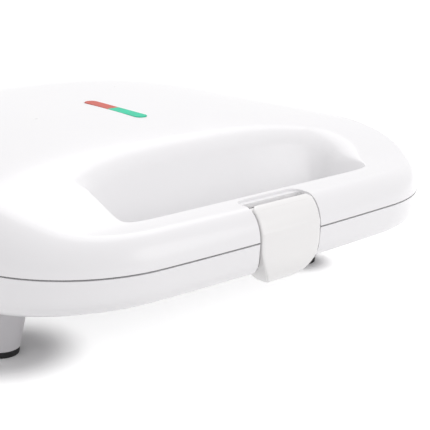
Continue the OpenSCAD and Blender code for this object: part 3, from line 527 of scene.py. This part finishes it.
def hook_cheek(side):
    """Wall that closes one end of the hook, with the clip's own rounded corner as its outside."""
    top, thick, soft, clear = -6.5, 3.3, 0.5, 0.7
    y0 = FRONT_Y - LATCH_PROUD
    rings = []
    for a in np.linspace(0, 90, 40):
        z = -HOOK_LOW + soft + (top + HOOK_LOW - soft) * (1 - math.cos(math.radians(a)))
        lift = HOOK_R - (z + HOOK_LOW)
        front = y0 + HOOK_R - math.sqrt(max((HOOK_R - soft) ** 2 - lift ** 2, 0))
        x1 = float(latch_half(np.array(z))) - 0.01
        x0 = x1 - thick
        under = (CATCH_R + clear) ** 2 - (z + NOSE_LOW - CATCH_R) ** 2
        back = HOOK_TIP_Y - soft
        if under >= 0:
            back = max(CATCH_Y + CATCH_R - math.sqrt(under), front + 0.4)
        r = min(0.8, (back - front) / 2)
        ring = [(x0, front), (x1, front)] + arc_2d((x1 - r, back - r), r, 0, 90, 5) + [(x0, back)]
        rings.append(np.array([(side * x, y, SEAM_Z + z) for x, y in ring]))
    last = rings[-1]
    middle = last.mean(axis=0)
    for grow, lift in ((0.97, 0.12), (0.9, 0.2)):
        ring = middle + (last - middle) * np.array([grow, grow, 1])
        ring[:, 2] += lift
        rings.append(ring)
    return ring_mesh("cheek", rings, closed=False, caps=True)


def latch():
    line = clip_profile()
    tangent = np.gradient(line, axis=0)
    tangent /= np.linalg.norm(tangent, axis=1)[:, None]
    outward = np.column_stack([tangent[:, 1], -tangent[:, 0]])
    z = line[:, 1]
    ridge = RIDGE_OUT * np.exp(-((z - RIDGE_Z) / RIDGE_HALF) ** 2)
    ridge = np.where(line[:, 0] < FRONT_Y + 6, ridge, 0)
    step = 0.06 / (1 + np.exp(-(z - RIDGE_Z + 1.2) * 3)) - 0.06
    from_top = np.where(z > BAR_H / 2, np.clip((line[0, 0] - line[:, 0]) / TOP_CORNER_R, 0, 1), 1)
    half = latch_half(z) - TOP_CORNER_R * (1 - np.sqrt(1 - (1 - from_top) ** 2))
    columns = [-1.0, -0.996, -0.985, -0.965, -0.9, -0.6, -0.2,
               0.2, 0.6, 0.9, 0.965, 0.985, 0.996, 1.0]
    soft = [0.7, 0.42, 0.2, 0.05, 0, 0, 0, 0, 0, 0, 0.05, 0.2, 0.42, 0.7]
    rings = []
    for inner in (False, True):
        for c, s in (zip(columns, soft) if not inner else zip(columns[::-1], soft[::-1])):
            off = -LATCH_WALL + s * 0.5 if inner else ridge + step - s
            q = line + outward * np.broadcast_to(off, len(line))[:, None]
            rings.append(np.column_stack([c * half, q[:, 0], SEAM_Z + q[:, 1]]))
    grid = np.array(rings)
    n, m = len(line), len(rings)
    faces = []
    for j in range(m):
        k = (j + 1) % m
        faces += [(j * n + i, j * n + i + 1, k * n + i + 1, k * n + i) for i in range(n - 1)]
    faces.append(tuple(j * n for j in range(m)))
    faces.append(tuple(j * n + n - 1 for j in range(m)))
    clip = add_mesh("latch_clip", grid.reshape(-1, 3), faces, 50)
    y, zp = LATCH_PIVOT
    barrel = cylinder("barrel", (0, y, SEAM_Z + zp), BARREL_R, LATCH_W - BARREL_GAP)
    web = [(y - BARREL_R, SEAM_Z + zp), (y - BARREL_R, SEAM_Z + BAR_H - 1.8),
           (y + 1.4, SEAM_Z + BAR_H - 1.8), (y + 2, SEAM_Z + BAR_H - 2.4), (y + 2, SEAM_Z + zp)]
    arm = [(FRONT_Y + 1.7, SEAM_Z + zp - 1.9), (FRONT_Y + 1.7, SEAM_Z + zp + 1.3),
           (y - 1, SEAM_Z + zp + 1.3), (y - 1, SEAM_Z + zp - 1.9)]
    ends = (-LATCH_W / 2 + BARREL_GAP, LATCH_W / 2 - BARREL_GAP)
    return join(clip, prism("web", web, *ends), prism("arm", arm, *ends), barrel,
                hook_cheek(-1), hook_cheek(1))


# ---- Materials ----
def material(name, color, rough=0.4, metal=0.0, vary=0.02, scale=60.0, grain=0.0, grain_scale=900.0,
             rough_vary=0.05, **sockets):
    """Procedural finish: slow colour drift, uneven gloss and a fine grain, all in object space."""
    m = bpy.data.materials.new(name)
    m.use_nodes = True
    nt = m.node_tree
    nodes, links = nt.nodes, nt.links
    shader = nodes["Principled BSDF"]
    coord = nodes.new("ShaderNodeTexCoord")
    cloud = nodes.new("ShaderNodeTexNoise")
    cloud.inputs["Scale"].default_value = scale
    cloud.inputs["Detail"].default_value = 3.0
    links.new(coord.outputs["Object"], cloud.inputs["Vector"])
    ramp = nodes.new("ShaderNodeMix")
    ramp.data_type = "RGBA"
    dark = tuple(max(c * (1 - vary), 0) for c in color[:3])
    light = tuple(min(c * (1 + vary), 1) for c in color[:3])
    ramp.inputs[6].default_value = (*dark, 1)
    ramp.inputs[7].default_value = (*light, 1)
    links.new(cloud.outputs["Fac"], ramp.inputs[0])
    links.new(ramp.outputs[2], shader.inputs["Base Color"])
    spread = nodes.new("ShaderNodeMapRange")
    spread.inputs["To Min"].default_value = max(rough - rough_vary, 0.02)
    spread.inputs["To Max"].default_value = min(rough + rough_vary, 1)
    links.new(cloud.outputs["Fac"], spread.inputs["Value"])
    links.new(spread.outputs["Result"], shader.inputs["Roughness"])
    shader.inputs["Metallic"].default_value = metal
    if grain > 0:
        fine = nodes.new("ShaderNodeTexNoise")
        fine.inputs["Scale"].default_value = grain_scale
        fine.inputs["Detail"].default_value = 2.0
        links.new(coord.outputs["Object"], fine.inputs["Vector"])
        bump = nodes.new("ShaderNodeBump")
        bump.inputs["Strength"].default_value = grain
        bump.inputs["Distance"].default_value = 0.0002
        links.new(fine.outputs["Fac"], bump.inputs["Height"])
        links.new(bump.outputs["Normal"], shader.inputs["Normal"])
    for key, value in sockets.items():
        shader.inputs[key.replace("_", " ")].default_value = value
    return m


FINISHES = {
    "shell_white": material("shell_white", (0.875, 0.872, 0.88), 0.3, vary=0.006, grain=0.05,
                            grain_scale=2400, Coat_Weight=0.25, Coat_Roughness=0.12),
    "latch_white": material("latch_white", (0.885, 0.88, 0.87), 0.3, vary=0.008, grain=0.05,
                            grain_scale=2200, Coat_Weight=0.15, Coat_Roughness=0.15),
    "liner_dark": material("liner_dark", (0.025, 0.025, 0.027), 0.55, vary=0.1, grain=0.3,
                           grain_scale=1600),
    "plate_nonstick": material("plate_nonstick", (0.022, 0.022, 0.024), 0.42, vary=0.25, scale=25,
                               grain=0.35, grain_scale=2600, rough_vary=0.1),
    "element_steel": material("element_steel", (0.16, 0.14, 0.13), 0.45, metal=0.9, vary=0.2,
                              grain=0.2),
    "clamp_steel": material("clamp_steel", (0.6, 0.6, 0.58), 0.35, metal=1.0, vary=0.08, grain=0.1),
    "reflector_sheet": material("reflector_sheet", (0.75, 0.75, 0.76), 0.28, metal=1.0,
                                vary=0.05, grain=0.15),
    "screw_steel": material("screw_steel", (0.62, 0.61, 0.57), 0.3, metal=1.0, vary=0.06,
                            grain=0.1),
    "pin_steel": material("pin_steel", (0.65, 0.65, 0.66), 0.22, metal=1.0, vary=0.04, grain=0.05),
    "leg_grey": material("leg_grey", (0.62, 0.61, 0.625), 0.42, vary=0.02, grain=0.12,
                         grain_scale=1800),
    "pad_rubber": material("pad_rubber", (0.012, 0.012, 0.013), 0.75, vary=0.15, grain=0.4,
                           grain_scale=1500),
    "lens_red": material("lens_red", (0.62, 0.13, 0.1), 0.5, vary=0.15, scale=220,
                         Coat_Weight=0.0, Specular_IOR_Level=0.15),
    "lens_green": material("lens_green", (0.04, 0.62, 0.38), 0.5, vary=0.15, scale=220,
                           Coat_Weight=0.0, Specular_IOR_Level=0.15),
    "lamp_glass": material("lamp_glass", (0.9, 0.6, 0.4), 0.08, vary=0.05, Transmission_Weight=0.8),
    "ceramic": material("ceramic", (0.72, 0.69, 0.6), 0.6, vary=0.05, grain=0.2, grain_scale=1200),
    "phenolic": material("phenolic", (0.09, 0.045, 0.025), 0.45, vary=0.2, grain=0.15,
                         grain_scale=1200),
    "sleeve": material("sleeve", (0.7, 0.68, 0.6), 0.85, vary=0.12, scale=700, grain=0.8,
                       grain_scale=1400),
    "wire_red": material("wire_red", (0.32, 0.02, 0.015), 0.4, vary=0.08, grain=0.08),
    "gland_dark": material("gland_dark", (0.028, 0.028, 0.03), 0.5, vary=0.1, grain=0.2,
                           grain_scale=1600),
}


def finish(obj, slot):
    obj.data.materials.clear()
    obj.data.materials.append(FINISHES[slot])


slots = {p["node"]: p["material_slot"] for p in frame["record"]["subparts"]}
for node, obj in frame["nodes"].items():
    for k in range(max(len(obj.material_slots), 1)):
        obj.material_slots[k].material = FINISHES[slots[node]]

# ---- Pieces that stand for CAD nodes ----
for name, build, node, body in (("lid_shell_fine", lid_shell, "lid_shell", "lid"),
                                ("base_shell_fine", base_shell, "base_shell", "base"),
                                ("latch_fine", latch, "latch", "latch")):
    piece = build()
    piece.name = name
    finish(piece, slots[node])
    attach(piece, body)
    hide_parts(node)


def box_corners(obj):
    return [obj.matrix_world @ Vector(c) for c in obj.bound_box]


def bend_hinge_lead():
    """The lead that crosses the hinge is a copy of its solid, baked in place with its finish."""
    cad = frame["nodes"]["hinge_lead"]
    sleeve = bpy.data.objects.new("hinge_sleeve", cad.data.copy())
    bpy.context.collection.objects.link(sleeve)
    sleeve.matrix_world = cad.matrix_world
    finish(sleeve, slots["hinge_lead"])
    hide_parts("hinge_lead")
    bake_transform(sleeve)


bend_hinge_lead()

# ---- Floor, world, lights ----
SOFT_LIGHT, SOFT_TINT = 0.8, (1, 0.985, 1, 1)
FLOOR_GREY, FLOOR_SIZE, FLOOR_GLOW = 0.8, 6, 0.63
# Painted shade: within these radii of the feet the floor's glow is taken away, and less far on the
# right, so dark spots show there.
PAINTED_FOOT_SHADE_R, FOOT_FADE_R, RIGHT_NARROWER = 0.012, 0.034, 0.8
scene = bpy.context.scene
scene.view_settings.view_transform = "Standard"


def math_node(nt, operation, *values):
    """A Math node, with a number or another node's output for each of its inputs."""
    node = nt.nodes.new("ShaderNodeMath")
    node.operation = operation
    for socket, value in zip(node.inputs, values):
        if isinstance(value, float):
            socket.default_value = value
        else:
            nt.links.new(value, socket)
    return node.outputs[0]


def seen_directly(nt):
    """1 for rays that come from the camera or through or off a shiny surface, else 0."""
    rays = nt.nodes.new("ShaderNodeLightPath").outputs
    first = math_node(nt, "MAXIMUM", rays["Is Camera Ray"], rays["Is Glossy Ray"])
    return math_node(nt, "MAXIMUM", first, rays["Is Transmission Ray"])


def foot_places():
    """Mean distance of the pads from the middle, and the y of the front and the back pair."""
    pads = [obj for node, obj in frame["nodes"].items() if node.startswith("pad_")]
    middle = [sum(box_corners(obj), Vector()) / 8 for obj in pads]
    return (sum(abs(p.x) for p in middle) / len(middle),
            [sum(p.y for p in middle if (p.y > 0) == back) / 2 for back in (False, True)])


def glow_with_painted_foot_shade(nt):
    """The floor's glow, with painted shade round the feet: none beside a foot, where the floor's
    own shading shows as a dark spot, and full beyond. The spots' place and width, wider on the
    left, are painted and not cast by the lamps.
    """
    foot_x, foot_ys = foot_places()
    place = nt.nodes.new("ShaderNodeNewGeometry")
    xyz = nt.nodes.new("ShaderNodeSeparateXYZ")
    nt.links.new(place.outputs["Position"], xyz.inputs[0])
    x, y = xyz.outputs[0], xyz.outputs[1]
    across = math_node(nt, "SUBTRACT", math_node(nt, "ABSOLUTE", x), foot_x)
    reach = []
    for foot_y in foot_ys:
        along = math_node(nt, "SUBTRACT", y, foot_y)
        square = math_node(nt, "ADD", math_node(nt, "MULTIPLY", across, across),
                           math_node(nt, "MULTIPLY", along, along))
        reach.append(math_node(nt, "SQRT", square))
    on_right = math_node(nt, "GREATER_THAN", x, 0.0)
    narrow = math_node(nt, "ADD", math_node(nt, "MULTIPLY", on_right, RIGHT_NARROWER), 1.0)
    nearest = math_node(nt, "MINIMUM", *reach)
    fade = nt.nodes.new("ShaderNodeMapRange")
    fade.interpolation_type = "SMOOTHSTEP"
    nt.links.new(math_node(nt, "MULTIPLY", nearest, narrow), fade.inputs["Value"])
    fade.inputs["From Min"].default_value = PAINTED_FOOT_SHADE_R
    fade.inputs["From Max"].default_value = FOOT_FADE_R
    fade.inputs["To Min"].default_value = 0.0
    fade.inputs["To Max"].default_value = FLOOR_GLOW
    return fade.outputs["Result"]


def studio_world():
    """Even light for the object, and plain white where it's seen directly."""
    world = bpy.data.worlds.new("studio")
    scene.world = world
    world.use_nodes = True
    nt = world.node_tree
    nt.nodes.clear()
    out = nt.nodes.new("ShaderNodeOutputWorld")
    blend = nt.nodes.new("ShaderNodeMixShader")
    nt.links.new(seen_directly(nt), blend.inputs[0])
    for k, (color, strength) in enumerate(((SOFT_TINT, SOFT_LIGHT), ((1, 1, 1, 1), 1.0)), 1):
        light = nt.nodes.new("ShaderNodeBackground")
        light.inputs["Color"].default_value = color
        light.inputs["Strength"].default_value = strength
        nt.links.new(light.outputs[0], blend.inputs[k])
    nt.links.new(blend.outputs[0], out.inputs["Surface"])


def floor_material():
    """A pale diffuse floor with a glow that only the camera and shiny surfaces see."""
    m = bpy.data.materials.new("studio_floor")
    m.use_nodes = True
    nt = m.node_tree
    nt.nodes.clear()
    out = nt.nodes.new("ShaderNodeOutputMaterial")
    lit = nt.nodes.new("ShaderNodeBsdfDiffuse")
    lit.inputs["Color"].default_value = (FLOOR_GREY, FLOOR_GREY, FLOOR_GREY, 1)
    glow = nt.nodes.new("ShaderNodeEmission")
    glow.inputs["Color"].default_value = (1, 1, 1, 1)
    # Painted shade: the glow's strength drops to nothing round the feet.
    strength = math_node(nt, "MULTIPLY", seen_directly(nt), glow_with_painted_foot_shade(nt))
    nt.links.new(strength, glow.inputs["Strength"])
    total = nt.nodes.new("ShaderNodeAddShader")
    nt.links.new(lit.outputs[0], total.inputs[0])
    nt.links.new(glow.outputs[0], total.inputs[1])
    nt.links.new(total.outputs[0], out.inputs["Surface"])
    return m


studio_world()
bpy.ops.mesh.primitive_plane_add(size=FLOOR_SIZE, location=(0, 0, 0))
ground = bpy.context.object
ground.name = "studio_floor"
ground.data.materials.append(floor_material())


def area(name, place, size, watts, target=(0, 0, 0.04)):
    """A round soft lamp that points at the middle of the object."""
    data = bpy.data.lights.new(name, "AREA")
    data.shape = "DISK"
    data.size = size
    data.energy = watts
    lamp = bpy.data.objects.new(name, data)
    bpy.context.collection.objects.link(lamp)
    lamp.location = place
    lamp.rotation_euler = (Vector(target) - Vector(place)).to_track_quat("-Z", "Y").to_euler()


area("key", (0.5, 0.6, 1.5), size=1.6, watts=8)
area("fill", (0.6, -1.5, 0.6), size=1.0, watts=4)

# ---- Camera ----
SENSOR, LENS, SHIFT_X, SHIFT_Y = 36, 83.44, 0.0033, -0.0107
CAMERA_X, CAMERA_Y, CAMERA_ABOVE_SEAM = -0.23836, -0.36745, 0.10797
YAW, DIP = 0.709, 0.288


def add_camera():
    data = bpy.data.cameras.new("camera")
    data.sensor_width, data.lens = SENSOR, LENS
    data.shift_x, data.shift_y = SHIFT_X, SHIFT_Y
    data.clip_start = 0.02
    camera = bpy.data.objects.new("camera", data)
    bpy.context.collection.objects.link(camera)
    camera.location = (CAMERA_X, CAMERA_Y, CAMERA_ABOVE_SEAM + SEAM_Z * 0.001)
    level = math.cos(DIP)
    look = Vector((math.sin(YAW) * level, math.cos(YAW) * level, -math.sin(DIP)))
    camera.rotation_euler = look.to_track_quat("-Z", "Y").to_euler()
    return camera


scene.camera = add_camera()
